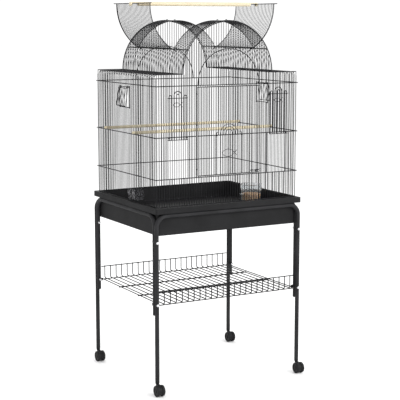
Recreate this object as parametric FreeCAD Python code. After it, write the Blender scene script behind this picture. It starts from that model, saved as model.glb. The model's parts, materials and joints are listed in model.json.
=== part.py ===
import FreeCAD, Part
import math
import os

from FreeCAD import Vector

os.makedirs("parts", exist_ok=True)

# Bird cage on a rolling stand. Millimetres, +X right, +Y back, +Z up, floor at Z = 0.
# The front, with its doors, faces -Y. The origin is on the floor under the middle of it all.

# Stand: bent round tube
TUBE_D = 16.0
TUBE_WALL = 1.2
LEG_X = 307.0          # leg centre lines, each side of the middle
LEG_Y = 265.0          # front and back frames
SIDE_LEG_Y = 248.8     # side frames stand just inside them
RAIL_Z = 669.0         # centre line of the top rails
BEND_R = 40.0
LEG_FOOT_Z = 48.0      # the long legs end here, over the casters
SIDE_FOOT_Z = 302.0    # the short legs end here
BOLT_Z = (341.0, 573.0)
BOLT_D = 5.0

# Casters
WHEEL_D = 42.0
WHEEL_W = 11.5
WHEEL_GAP = 10.0
TRAIL = 16.0
STEM_D = 8.0
AXLE_D = 5.0

# Shelf basket
SHELF_Z = 339.0
FENCE_TOP_Z = 391.0
SHELF_PITCH = 25.0
SHELF_X = 292.0
SHELF_Y = 262.0
SHELF_WIRE_D = 4.0
SHELF_ROD_D = 5.0

# Plastic tub
RIM_X = 313.5
RIM_Y = 275.5
RIM_TOP_Z = 698.0
RIM_DROP = 20.4
TUB_WALL_X = 298.5
TUB_WALL_Y = 256.5
TUB_T = 3.0
TUB_FLOOR_Z = 640.0
SKIRT_Z = 595.5

# Wire cage
WALL_X = 300.5         # planes of the upright wires
WALL_Y = 252.5
WIRE_D = 2.1
BAND_D = 3.4
SLIM_D = 2.2           # rods round the small openings and down the door's hinge side
PITCH = 10.3
LOW_Z = 800.5
MID_Z = 953.0
TOP_Z = 1138.0
ROOF_Z = 1180.0
ROOF_BEND_R = 15.0
DOME_R = 191.5
GAP = 0.03             # hair gap between crossing wires

# Openings and doors
DOOR_X = 130.0         # stiles of the large front door
JAMB_X = 136.9
DOOR_FOOT_Z = 805.5
DOOR_HEAD_Z = 1132.0
HATCH_X = 53.5         # posts of the sliding hatch in the door
FEEDER_MID_X = 20.5 * PITCH
FEEDER_HALF_W = 4 * PITCH
FEEDER_DOOR_X = 215.0
FLAP_MID_Y = PITCH / 2
FLAP_HALF_W = 41.2
FLAP_TOP_Z = 1126.0
FLAP_FOOT_Z = 1050.0
FLAP_LEAN = 9.0        # the side flaps hang a little open

# Dome flaps
HINGE_ANGLE = 27.4
HINGE_BAR_D = 4.0
DOME_FLAP_Y = 142.0
STRIP_Y = 147.0
OPEN_ANGLE = 88.0
FREE_BAR_D = 3.4
FREE_ANGLE = 89.3      # the free bar's place on the dome when the flap is shut

# Perches and cups
PERCH_D = 12.0
TOP_PERCH_D = 15.0
CUP_X = 242.0
CUP_Y = -23.0
CUP_R = 44.0
CUP_H = 84.0
SEED_H = 46.0

# The casters trail forwards, so the middle of the whole object is ahead of the cage's middle.
# Everything is laid out round the cage's middle and moved back by this much when it is saved.
ORIGIN_Y = 12.7

BAND_OFF = (WIRE_D + BAND_D) / 2 + GAP     # bands lie outside the wires
INSET = (BAND_D - WIRE_D) / 2              # thick rods in the wire plane sit this much further in
SLIM_INSET = (SLIM_D - WIRE_D) / 2
BAND_X = WALL_X + BAND_OFF
BAND_Y = WALL_Y + BAND_OFF
ROD_X = WALL_X - INSET
ROD_Y = WALL_Y - INSET
SLIM_Y = WALL_Y - SLIM_INSET
SLIDE_D = 3.2                                       # wires of the sliding doors
SLIDE_Y = BAND_Y + BAND_D / 2 + 0.3 + SLIDE_D / 2
SLIDE_BAR_D = 2.6
SLIDE_BAR_Y = SLIDE_Y + (SLIDE_D + SLIDE_BAR_D) / 2 + GAP
HINGE_R = DOME_R - (WIRE_D + HINGE_BAR_D) / 2 - GAP
X, Y, Z = Vector(1, 0, 0), Vector(0, 1, 0), Vector(0, 0, 1)


def save(name, solids):
    """One node: its solids as one compound, or the solid itself."""
    shape = solids[0] if len(solids) == 1 else Part.makeCompound(solids)
    shape = shape.copy()
    shape.translate(Vector(0, ORIGIN_Y, 0))
    shape.exportStep("parts/%s.step" % name)


def rod(start, end, diameter):
    a, b = Vector(start), Vector(end)
    return Part.makeCylinder(diameter / 2, (b - a).Length, a, b - a)


def bent(centre, radius, axis, start, sweep, diameter):
    """A round rod bent about an axis. start is a unit vector from the centre to its first point."""
    c = Vector(*centre)
    first = c + start * radius
    section = Part.Face(Part.Wire(Part.makeCircle(diameter / 2, first, axis.cross(start))))
    return section.revolve(c, axis, sweep)


def ring(centre, axis, inner_d, wire_d):
    return Part.makeTorus((inner_d + wire_d) / 2, wire_d / 2, Vector(centre), axis)


def in_xz(angle):
    """Unit vector in the XZ plane, angle in degrees above +X."""
    return Vector(math.cos(math.radians(angle)), 0, math.sin(math.radians(angle)))


def arch(cx, cz, y, radius, diameter, start=0.0, end=180.0, spans=1):
    """An arc in an XZ plane, in equal spans, from start to end in degrees above +X."""
    step = (end - start) / spans
    return [
        bent((cx, y, cz), radius, -Y, in_xz(start + i * step), step, diameter)
        for i in range(spans)
    ]


def pitched(first, last):
    """Multiples of the wire pitch from first to last steps."""
    return [k * PITCH for k in range(first, last + 1)]


def hollow(length, at, direction, outer, inner):
    return Part.makeCylinder(outer, length, at, direction).cut(
        Part.makeCylinder(inner, length, at, direction)
    )


# ---------------------------------------------------------------- stand

def tube_run(start, end):
    a, b = Vector(*start), Vector(*end)
    return hollow((b - a).Length, a, b - a, TUBE_D / 2, TUBE_D / 2 - TUBE_WALL)


def tube_bend(centre, axis, start):
    c = Vector(*centre)
    first = c + start * BEND_R
    disc = Part.Face(Part.Wire(Part.makeCircle(TUBE_D / 2, first, axis.cross(start))))
    bore = Part.Face(Part.Wire(Part.makeCircle(TUBE_D / 2 - TUBE_WALL, first, axis.cross(start))))
    return disc.cut(bore).revolve(c, axis, 90)


def bolt_holes(side_x, side_y):
    """Clearance holes through both tubes of one corner."""
    return [
        Part.makeCylinder(
            BOLT_D / 2 + 0.05, 60, Vector(side_x * LEG_X, side_y * 230, z), Vector(0, side_y, 0)
        )
        for z in BOLT_Z
    ]


def leg_frame(side):
    """Front (-1) or back (+1) frame: two long legs and a rail between them."""
    y = side * LEG_Y
    turn = RAIL_Z - BEND_R
    solids = [tube_run((-LEG_X + BEND_R, y, RAIL_Z), (LEG_X - BEND_R, y, RAIL_Z))]
    for sx in (-1, 1):
        leg = tube_run((sx * LEG_X, y, LEG_FOOT_Z), (sx * LEG_X, y, turn))
        solids.append(leg.cut(bolt_holes(sx, side)))
        solids.append(tube_bend((sx * (LEG_X - BEND_R), y, turn), Y * -sx, X * sx))
    return solids


def side_frame(side):
    """Left (-1) or right (+1) frame: two short legs and a rail between them."""
    x = side * LEG_X
    turn = RAIL_Z - BEND_R
    rail_end = SIDE_LEG_Y - BEND_R
    solids = [tube_run((x, -rail_end, RAIL_Z), (x, rail_end, RAIL_Z))]
    for sy in (-1, 1):
        leg = tube_run((x, sy * SIDE_LEG_Y, SIDE_FOOT_Z), (x, sy * SIDE_LEG_Y, turn))
        solids.append(leg.cut(bolt_holes(side, sy)))
        solids.append(tube_bend((x, sy * rail_end, turn), X * sy, Y * sy))
    return solids


CORNERS = [
    ("front_left", -1, -1),
    ("front_right", 1, -1),
    ("back_left", -1, 1),
    ("back_right", 1, 1),
]
BOLT_SEAT_Y = LEG_Y + TUBE_D / 2           # outer face of the outer tube
NUT_SEAT_Y = SIDE_LEG_Y - TUBE_D / 2       # inner face of the inner tube
EYE_T = 2.0


def bolt(sx, sy, z):
    out = Vector(0, sy, 0)
    seat = Vector(sx * LEG_X, sy * (BOLT_SEAT_Y + 0.02), z)
    tail = NUT_SEAT_Y - 8
    shank = Part.makeCylinder(BOLT_D / 2, BOLT_SEAT_Y - tail, Vector(sx * LEG_X, sy * tail, z), out)
    head = Part.makeCylinder(5.2, 1.6, seat, out)
    dome = Part.makeSphere(6.9, seat - out * 3.3).common(
        Part.makeCylinder(5.2, 4, seat + out * 1.6, out)
    )
    return shank.fuse(head).fuse(dome).removeSplitter()


def nut(sx, sy, z, washer):
    """A hexagon nut with a domed cap, on the inner face."""
    inward = Vector(0, -sy, 0)
    at = Vector(sx * LEG_X, sy * (NUT_SEAT_Y - washer - 0.02), z)
    corners = [
        at + Vector(5.0 * math.cos(math.radians(60 * i)), 0, 5.0 * math.sin(math.radians(60 * i)))
        for i in range(7)
    ]
    body = Part.Face(Part.makePolygon(corners)).extrude(inward * 4.5)
    cap = Part.makeCylinder(3.9, 5.5, at + inward * 4.5, inward)
    bore = Part.makeCylinder(BOLT_D / 2 + 0.02, 9, at, inward)
    return body.fuse(cap).cut(bore).removeSplitter()


def build_stand():
    save("front_leg_frame", leg_frame(-1))
    save("back_leg_frame", leg_frame(1))
    save("left_side_frame", side_frame(-1))
    save("right_side_frame", side_frame(1))
    ends = [(sx, sy, z) for _, sx, sy in CORNERS for z in BOLT_Z]
    save("frame_bolts", [bolt(*end) for end in ends])
    lug = {BOLT_Z[0]: EYE_T + 0.04, BOLT_Z[1]: 0.0}
    save("frame_nuts", [nut(sx, sy, z, lug[z]) for sx, sy, z in ends])
    save("caster_sockets", [socket(sx, sy) for _, sx, sy in CORNERS])
    save("tube_end_caps", [end_cap(sx, sy) for _, sx, sy in CORNERS])


def socket(sx, sy):
    """Plastic sleeve that holds a caster stem in the leg."""
    foot = Vector(sx * LEG_X, sy * LEG_Y, LEG_FOOT_Z)
    sleeve = Part.makeCylinder(TUBE_D / 2 - TUBE_WALL - 0.05, 32, foot)
    collar = Part.makeCylinder(TUBE_D / 2, 1.5, foot - Z * 1.52)
    bore = Part.makeCylinder(STEM_D / 2 + 0.05, 34, foot - Z * 2)
    return sleeve.fuse(collar).cut(bore).removeSplitter()


def end_cap(sx, sy):
    """Plug in the open lower end of a side frame's leg."""
    foot = Vector(sx * LEG_X, sy * SIDE_LEG_Y, SIDE_FOOT_Z)
    plug = Part.makeCylinder(TUBE_D / 2 - TUBE_WALL - 0.05, 12, foot)
    return plug.fuse(Part.makeCylinder(TUBE_D / 2, 2, foot - Z * 2.02)).removeSplitter()


def shelf_eye(sx, sy):
    """Flat lug under the lower nut, reaching in to the shelf's corner."""
    y = sy * (NUT_SEAT_Y - 0.02)
    inner_x, outer_x = SHELF_X + 2.2, LEG_X + 7
    x = inner_x if sx > 0 else -outer_x
    corner = Vector(x, y if sy < 0 else y - EYE_T, BOLT_Z[0] - 6)
    plate = Part.makeBox(outer_x - inner_x, EYE_T, 12, corner)
    hole = Part.makeCylinder(BOLT_D / 2 + 0.1, 10, Vector(sx * LEG_X, y - 5, BOLT_Z[0]), Y)
    return plate.cut(hole)


def build_shelf():
    solids = []
    top = SHELF_Z + SHELF_WIRE_D / 2
    count = int(SHELF_X // SHELF_PITCH)
    fence_y = SHELF_Y
    for k in range(-count, count + 1):
        x = k * SHELF_PITCH
        flat = fence_y - 6 - GAP
        solids.append(rod((x, -flat, top), (x, flat, top), SHELF_WIRE_D))
        for sy in (-1, 1):
            y = sy * fence_y
            solids.append(bent((x, y - sy * 6, top + 6), 6, X * sy, -Z, 90, SHELF_WIRE_D))
            solids.append(rod((x, y, top + 6 + GAP), (x, y, FENCE_TOP_Z), SHELF_WIRE_D))
    under = top - (SHELF_WIRE_D + SHELF_ROD_D) / 2 - GAP
    for y in (-75.0, 93.0):
        solids.append(rod((-SHELF_X, y, under), (SHELF_X, y, under), SHELF_ROD_D))
    inner = fence_y - (SHELF_WIRE_D + 4.0) / 2 - GAP
    rail_z = FENCE_TOP_Z - 2
    foot_y, foot_z = fence_y - 7, top - (SHELF_WIRE_D + 4.0) / 2 - GAP
    for sy in (-1, 1):
        solids.append(rod((-SHELF_X, sy * inner, rail_z), (SHELF_X, sy * inner, rail_z), 4.0))
        solids.append(rod((-SHELF_X, sy * foot_y, foot_z), (SHELF_X, sy * foot_y, foot_z), 4.0))
        for sx in (-1, 1):
            solids.append(shelf_eye(sx, sy))
    edge_z = under + (SHELF_ROD_D + 4.0) / 2 + GAP
    side_y = fence_y - 8
    for x in (-SHELF_X, SHELF_X):
        solids.append(rod((x, -side_y, edge_z), (x, side_y, edge_z), 4.0))
    save("shelf_basket", solids)


# ---------------------------------------------------------------- casters

def caster_body(x, y):
    """The block between the two wheels, with its neck up to the stem."""
    axle = Vector(x, y - TRAIL, WHEEL_D / 2)
    width = WHEEL_GAP - 0.8
    disc = Part.makeCylinder(WHEEL_D / 2 - 3, width, axle - X * width / 2, X)
    block = Part.makeBox(width, TRAIL + 4, 20, Vector(x - width / 2, y - TRAIL, 24))
    neck = Part.makeCylinder(7.0, 3.7, Vector(x, y, 42.3))
    bore = Part.makeCylinder(AXLE_D / 2 + 0.05, 40, axle - X * 20, X)
    pin = Part.makeCylinder(STEM_D / 2 + 0.02, 12, Vector(x, y, 34))
    return disc.fuse(block).fuse(neck).cut(bore).cut(pin).removeSplitter()


def caster_wheels(x, y):
    """Two dished plastic wheels with a rounded tread."""
    wheels = []
    r, w, bore = WHEEL_D / 2, WHEEL_W, AXLE_D / 2 + 0.01
    for side in (-1, 1):
        at = Vector(x + side * WHEEL_GAP / 2, y - TRAIL, WHEEL_D / 2)
        wheel = Part.makeCylinder(r, w, at, X * side)
        around = 2 * math.pi * r
        wheel = wheel.makeFillet(2.5, [e for e in wheel.Edges if abs(e.Length - around) < 1])
        dish = Part.makeCone(r - 8, r - 5, 2.5, at + X * side * (w - 2.5), X * side)
        hub = Part.makeCylinder(5.5, 2.0, at + X * side * (w - 2.5), X * side)
        hole = Part.makeCylinder(bore, w, at, X * side)
        wheels.append(wheel.cut(dish).fuse(hub).cut(hole).removeSplitter())
    return wheels


def build_casters():
    for name, sx, sy in CORNERS:
        x, y = sx * LEG_X, sy * LEG_Y
        reach = WHEEL_GAP / 2 + WHEEL_W - 1
        save("caster_body_" + name, [caster_body(x, y)])
        save("caster_stem_" + name, [Part.makeCylinder(STEM_D / 2, 42, Vector(x, y, 34.1))])
        save("caster_wheels_" + name, caster_wheels(x, y))
        end = Vector(x - reach, y - TRAIL, WHEEL_D / 2)
        save("caster_axle_" + name, [Part.makeCylinder(AXLE_D / 2, 2 * reach, end, X)])


# ---------------------------------------------------------------- tub

def slab(half_x, half_y, low, high, corner):
    box = Part.makeBox(2 * half_x, 2 * half_y, high - low, Vector(-half_x, -half_y, low))
    upright = [e for e in box.Edges if abs(e.Vertexes[0].Z - e.Vertexes[1].Z) > 0.5 * (high - low)]
    return box.makeFillet(corner, upright)


def build_tub():
    rim = slab(RIM_X, RIM_Y, RIM_TOP_Z - RIM_DROP, RIM_TOP_Z, 6)
    rim_foot = RIM_TOP_Z - RIM_DROP - 1
    rim = rim.cut(slab(RIM_X - TUB_T, RIM_Y - TUB_T, rim_foot, RIM_TOP_Z - TUB_T, 4))
    wall = slab(TUB_WALL_X, TUB_WALL_Y, SKIRT_Z, RIM_TOP_Z, 10)
    well = slab(TUB_WALL_X - TUB_T, TUB_WALL_Y - TUB_T, TUB_FLOOR_Z, RIM_TOP_Z + 1, 7)
    under = slab(TUB_WALL_X - TUB_T, TUB_WALL_Y - TUB_T, SKIRT_Z - 1, TUB_FLOOR_Z - TUB_T, 7)
    save("base_tub", [rim.fuse(wall).cut(well).cut(under).removeSplitter()])


# ---------------------------------------------------------------- cage walls

FOOT_ROD_Z = RIM_TOP_Z + BAND_D / 2 + 0.1
WIRE_FOOT_Z = FOOT_ROD_Z + BAND_D / 2 + GAP
EDGE_X = WALL_X - 2.5                             # end rods of the front and back panels
EDGE_Y = 248.3                                    # end rods of the dome strips
LUNETTE_R = DOME_R - 2.5
BAND_END_X = BAND_X + BAND_D / 2
ROW_X = pitched(-28, 28)
ROW_Y = pitched(-23, 23)


def lunette_top(x):
    """How high an upright at x runs: to the shoulder, or up to the arch."""
    reach = LUNETTE_R - BAND_D / 2 - GAP
    edge = abs(x) + WIRE_D / 2
    if edge >= reach - 2:
        return ROOF_Z - BAND_D / 2 - GAP
    return ROOF_Z + math.sqrt(reach**2 - edge**2)


def end_panel(side, openings):
    """Front (-1) or back (+1) wall with its half-round top. openings are (x0, x1, z0, z1)."""
    y, band_y, rod_y = side * WALL_Y, side * BAND_Y, side * ROD_Y
    solids = []
    for x in ROW_X:
        holes = sorted((z0, z1) for x0, x1, z0, z1 in openings if x0 < x < x1)
        foot = WIRE_FOOT_Z
        for z0, z1 in holes + [(lunette_top(x), None)]:
            solids.append(rod((x, y, foot), (x, y, z0), WIRE_D))
            foot = z1
    for sx in (-1, 1):
        edge = sx * EDGE_X
        inner = sx * (LUNETTE_R + BAND_D / 2 + 0.2)
        head = ROOF_Z - BAND_D / 2 - GAP
        solids.append(rod((edge, y, WIRE_FOOT_Z), (edge, y, head), WIRE_D))
        solids.append(rod((edge + sx, rod_y, ROOF_Z), (inner, rod_y, ROOF_Z), BAND_D))
    solids.append(rod((-EDGE_X - 1, rod_y, FOOT_ROD_Z), (EDGE_X + 1, rod_y, FOOT_ROD_Z), BAND_D))
    solids += arch(0, ROOF_Z, rod_y, LUNETTE_R, BAND_D, spans=6)
    solids += arch(0, TOP_Z + BAND_D / 2 + GAP, band_y, 130.0, 3.0, spans=6)
    for z in (LOW_Z, TOP_Z):
        solids.append(rod((-BAND_END_X, band_y, z), (BAND_END_X, band_y, z), BAND_D))
    return solids


def eye(x, y, z, rod_d):
    """A small wire eye round an upright rod of a sliding door."""
    return ring((x, y, z), Z, rod_d + 0.6, 1.8)


EYE_Z = MID_Z - BAND_D / 2 - 0.9 - GAP
POST_D = 2.5
FEEDER_WIRES = [FEEDER_DOOR_X + (k + 0.5) * PITCH for k in range(-4, 4)]


def build_front_panel():
    door = (-JAMB_X, JAMB_X, LOW_Z + BAND_D / 2, TOP_Z - BAND_D / 2)
    openings = [door]
    frame_z = (LOW_Z + BAND_D / 2, MID_Z - BAND_D / 2)
    for sx in (-1, 1):
        sides = sorted(sx * (FEEDER_MID_X + d) for d in (-FEEDER_HALF_W, FEEDER_HALF_W))
        openings.append((sides[0] - 2, sides[1] + 2, *frame_z))
    solids = end_panel(-1, openings)
    for sx in (-1, 1):
        mid_start = sx * (JAMB_X - 1.7)
        solids.append(rod((mid_start, -BAND_Y, MID_Z), (sx * BAND_END_X, -BAND_Y, MID_Z), BAND_D))
        for d in (-FEEDER_HALF_W, FEEDER_HALF_W):
            x = sx * (FEEDER_MID_X + d)
            solids.append(rod((x, -SLIM_Y, LOW_Z - 2), (x, -SLIM_Y, MID_Z + 2), SLIM_D))
        for x in (FEEDER_WIRES[0], FEEDER_WIRES[-1]):
            solids.append(eye(sx * x, -SLIDE_Y, EYE_Z, SLIDE_D))
    head = TOP_Z + BAND_D / 2
    solids.append(rod((JAMB_X, -ROD_Y, WIRE_FOOT_Z), (JAMB_X, -ROD_Y, head), BAND_D))
    solids.append(rod((-JAMB_X, -WALL_Y, LOW_Z - 2), (-JAMB_X, -WALL_Y, head), WIRE_D))
    hinge_foot = (-JAMB_X, -HINGE_ROD_Y, LOW_Z - 3)
    solids.append(rod(hinge_foot, (-JAMB_X, -HINGE_ROD_Y, TOP_Z + 3), SLIM_D))
    save("front_panel", solids + keeper())


def keeper():
    """A staple on the jamb that the latch's bolt slides into."""
    half = LATCH_D / 2 + 0.3 + KEEPER_D / 2
    front = -LATCH_Y - half
    back = front + KEEPER_D / 2 + GAP
    legs = [
        rod((KEEPER_X, -ROD_Y, LATCH_Z + s * half), (KEEPER_X, back, LATCH_Z + s * half), KEEPER_D)
        for s in (-1, 1)
    ]
    low, high = LATCH_Z - half - KEEPER_D / 2, LATCH_Z + half + KEEPER_D / 2
    return legs + [rod((KEEPER_X, front, low), (KEEPER_X, front, high), KEEPER_D)]


def build_back_panel():
    solids = end_panel(1, [])
    solids.append(rod((-BAND_END_X, BAND_Y, MID_Z), (BAND_END_X, BAND_Y, MID_Z), BAND_D))
    save("back_panel", solids)


def build_side_panel(side, name):
    """Left (-1) or right (+1) wall: one panel turned half round, so the flap's offset swaps."""
    x, rod_x = side * WALL_X, side * ROD_X
    mid_y = -side * FLAP_MID_Y
    hole = (mid_y - FLAP_HALF_W, mid_y + FLAP_HALF_W)
    wire_top = ROOF_Z - ROOF_BEND_R - GAP
    solids = []
    for y in ROW_Y:
        if hole[0] - 1 < y < hole[1] + 1:
            solids.append(rod((x, y, WIRE_FOOT_Z), (x, y, FLAP_FOOT_Z - BAND_D / 2), WIRE_D))
            solids.append(rod((x, y, FLAP_TOP_Z + BAND_D / 2), (x, y, wire_top), WIRE_D))
        else:
            solids.append(rod((x, y, WIRE_FOOT_Z), (x, y, wire_top), WIRE_D))
    for y in (-WALL_Y + 2.5, WALL_Y - 2.5):
        solids.append(rod((x, y, WIRE_FOOT_Z), (x, y, wire_top), WIRE_D))
    solids.append(rod((rod_x, -EDGE_Y - 1, FOOT_ROD_Z), (rod_x, EDGE_Y + 1, FOOT_ROD_Z), BAND_D))
    for z in (LOW_Z, MID_Z, TOP_Z):
        end = BAND_Y - BAND_D / 2 - 0.1
        solids.append(rod((side * BAND_X, -end, z), (side * BAND_X, end, z), BAND_D))
    for y in hole:
        solids.append(rod((x, y, FLAP_FOOT_Z - 4), (x, y, FLAP_TOP_Z + 4), WIRE_D))
    for z in (FLAP_FOOT_Z, FLAP_TOP_Z):
        solids.append(rod((side * BAND_X, hole[0] - 2, z), (side * BAND_X, hole[1] + 2, z), BAND_D))
    save(name, solids)


# ---------------------------------------------------------------- roof

FOOT_ANGLE = math.degrees((BAND_D / 2 + GAP) / DOME_R)
MIDDLE_Y = pitched(-13, 13)
STRIP_ROWS = pitched(15, 23)
STRIP_ROD_D = 2.4      # slimmer than the other edge rods, so the shut flap's bar passes over it
FLAP_FOOT_D = 3.0
TAIL = Vector(0.664, 0, -0.748)            # way of the flaps' stop tails, when shut


def shoulder_wire(side, y):
    """From the wall's top round the corner and in to the dome's foot."""
    bend_x = side * (WALL_X - ROOF_BEND_R)
    elbow = bent((bend_x, y, ROOF_Z - ROOF_BEND_R), ROOF_BEND_R, -Y * side, X * side, 90, WIRE_D)
    inner = side * (DOME_R + BAND_D / 2 + GAP)
    return [elbow, rod((bend_x - side * GAP, y, ROOF_Z), (inner, y, ROOF_Z), WIRE_D)]


def build_roof_side(side, name):
    """One shoulder with the wired part of the dome under the hinge bar."""
    solids = [part for y in ROW_Y for part in shoulder_wire(side, y)]
    solids.append(rod((side * DOME_R, -EDGE_Y, ROOF_Z), (side * DOME_R, EDGE_Y, ROOF_Z), BAND_D))
    start, end = FOOT_ANGLE, HINGE_ANGLE + 0.6
    if side < 0:
        start, end = 180 - end, 180 - start
    for y in MIDDLE_Y:
        solids += arch(0, ROOF_Z, y, DOME_R, WIRE_D, start, end)
    save(name, solids)


def build_strip(side, name):
    """The fixed part of the dome at the front (-1) or back (+1)."""
    solids = []
    span = (FOOT_ANGLE, 180 - FOOT_ANGLE, 4)
    for y in STRIP_ROWS:
        solids += arch(0, ROOF_Z, side * y, DOME_R, WIRE_D, *span)
    for y, d in ((STRIP_Y, STRIP_ROD_D), (EDGE_Y, BAND_D)):
        solids += arch(0, ROOF_Z, side * y, DOME_R + (d - WIRE_D) / 2, d, *span)
    crown = ROOF_Z + DOME_R - (WIRE_D + BAND_D) / 2 - GAP
    inset = BAND_D / 2 + GAP
    solids.append(
        rod((0, side * (STRIP_Y + inset), crown), (0, side * (EDGE_Y - inset), crown), BAND_D)
    )
    for y in (STRIP_Y + 18, EDGE_Y - 18):
        solids.append(ring((0, side * (y + 0.5 * PITCH), ROOF_Z + DOME_R + 2.5), Y, 3.0, 2.0))
    save(name, solids)


def hinge_point(side):
    v = in_xz(HINGE_ANGLE)
    return side * HINGE_R * v.x, ROOF_Z + HINGE_R * v.z


def free_bar_shut():
    """Middle of the right flap's free bar, as x and z, when the flap is shut."""
    v = in_xz(FREE_ANGLE) * (DOME_R + (BAND_D + FREE_BAR_D) / 2 + GAP)
    return v.x, ROOF_Z + v.z


def build_hinge_bars():
    solids = []
    for side in (-1, 1):
        x, z = hinge_point(side)
        solids.append(rod((x, -EDGE_Y, z), (x, EDGE_Y, z), HINGE_BAR_D))
    save("dome_hinge_bars", solids)


def build_dome_flap(side, name):
    """A curved flap, drawn shut on the dome and then swung open about its hinge bar."""
    low = HINGE_ANGLE + 3.2
    middle = (low + FREE_ANGLE) / 2
    flap = []
    for a, b in ((low + 0.55, middle), (middle, FREE_ANGLE)):
        for y in MIDDLE_Y:
            flap += arch(0, ROOF_Z, y, DOME_R + INSET, WIRE_D, a, b)
        for y in (-DOME_FLAP_Y, DOME_FLAP_Y):
            flap += arch(0, ROOF_Z, y, DOME_R, BAND_D, a, b)
    edge = DOME_FLAP_Y + BAND_D / 2
    foot_x, foot_z = DOME_R * in_xz(low).x, ROOF_Z + DOME_R * in_xz(low).z
    flap.append(rod((foot_x, -edge, foot_z), (foot_x, edge, foot_z), FLAP_FOOT_D))
    bar_x, bar_z = free_bar_shut()
    flap.append(rod((bar_x, -edge - 16, bar_z), (bar_x, edge + 16, bar_z), FREE_BAR_D))
    hx, hz = hinge_point(1)
    up = Vector(foot_x - hx, 0, foot_z - hz)
    reach = up.Length - FLAP_FOOT_D / 2 - 0.02
    up.normalize()
    clear = HINGE_BAR_D / 2 + 0.3 + WIRE_D + 0.02
    for row in (-13.5, -5.5, 5.5, 13.5):
        at = Vector(hx, row * PITCH, hz)
        flap.append(ring(at, Y, HINGE_BAR_D + 0.6, WIRE_D))
        flap.append(rod(at + up * clear, at + up * reach, WIRE_D))
        if abs(row) > 10:
            flap.append(rod(at + TAIL * clear, at + TAIL * 15, 3.0))
    shape = Part.makeCompound(flap)
    shape.rotate(Vector(hx, 0, hz), Y, OPEN_ANGLE)
    if side < 0:
        shape = shape.mirror(Vector(0, 0, 0), X)
    save(name, [shape])


# ---------------------------------------------------------------- doors

HINGE_ROD_Y = BAND_Y + (BAND_D + SLIM_D) / 2 + GAP
LATCH_D = 3.0
LATCH_Y = WALL_Y + WIRE_D / 2 + 0.2 + 1.8 + 0.3 + LATCH_D / 2
LATCH_Z = 814.0
KEEPER_D = 1.8
KEEPER_X = JAMB_X + (BAND_D + KEEPER_D) / 2 + GAP


def build_front_door():
    hatch = 5.5 * PITCH
    solids = []
    for x in pitched(-12, 12):
        foot = MID_Z - BAND_D / 2 if abs(x) < hatch else DOOR_FOOT_Z
        solids.append(rod((x, -WALL_Y, foot), (x, -WALL_Y, DOOR_HEAD_Z), WIRE_D))
    low, high = DOOR_FOOT_Z - 1.7, DOOR_HEAD_Z + 1.7
    solids.append(rod((-DOOR_X, -SLIM_Y, low), (-DOOR_X, -SLIM_Y, high), SLIM_D))
    solids.append(rod((DOOR_X, -ROD_Y, low), (DOOR_X, -ROD_Y, high), BAND_D))
    for sx in (-1, 1):
        post = sx * hatch
        solids.append(rod((post, -WALL_Y, low), (post, -WALL_Y, MID_Z - 2), WIRE_D))
        solids.append(eye(sx * HATCH_X, -SLIDE_Y, EYE_Z, POST_D))
    for z in (DOOR_FOOT_Z, MID_Z, DOOR_HEAD_Z):
        solids.append(rod((-DOOR_X - 1.7, -BAND_Y, z), (DOOR_X + 1.7, -BAND_Y, z), BAND_D))
    across = Vector(JAMB_X - DOOR_X, HINGE_ROD_Y - SLIM_Y, 0)
    reach = across.Length - SLIM_D / 2 - 0.02
    across.normalize()
    clear = SLIM_D / 2 + 0.3 + WIRE_D + 0.02
    for z in (DOOR_FOOT_Z + 25, MID_Z + 40, DOOR_HEAD_Z - 25):
        at = Vector(-JAMB_X, -HINGE_ROD_Y, z)
        solids.append(ring(at, Z, SLIM_D + 0.6, WIRE_D))
        solids.append(rod(at + across * clear, at + across * reach, WIRE_D))
    for x in (KEEPER_X - 38, KEEPER_X - 16):
        solids.append(ring((x, -LATCH_Y, LATCH_Z), X, LATCH_D + 0.6, 1.8))
    save("front_door", solids)


def build_latch():
    """A short wire bolt with a knob, drawn back from its keeper."""
    end = KEEPER_X - 5
    x, surface = KEEPER_X - 27, -LATCH_Y - LATCH_D / 2 - GAP
    bolt_rod = rod((end - 42, -LATCH_Y, LATCH_Z), (end, -LATCH_Y, LATCH_Z), LATCH_D)
    stem = rod((x, surface, LATCH_Z), (x, surface - 4, LATCH_Z), LATCH_D)
    knob = Part.makeCylinder(4.0, 6.0, Vector(x, surface - 4 - GAP, LATCH_Z), -Y)
    save("door_latch", [bolt_rod, stem, knob.makeFillet(1.2, knob.Edges[0])])


def leaping_fish(cx, cz, length, y):
    """A simple wire outline: a body of two arcs and a forked tail."""
    r = length * 0.62
    drop = math.sqrt(r**2 - (length / 2) ** 2)
    half = math.degrees(math.asin(length / 2 / r))
    upper = arch(cx, cz - drop, y, r, 1.8, 90 - half, 90 + half)
    lower = arch(cx, cz + drop, y, r, 1.8, 270 - half + 4, 270 + half - 4)
    tip = cx + length / 2 + 1.5
    tail = [
        rod((tip, y, cz + s * 1.2), (tip + 8, y, cz + s * 9), 1.8)
        for s in (-1, 1)
    ]
    return upper + lower + tail


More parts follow.
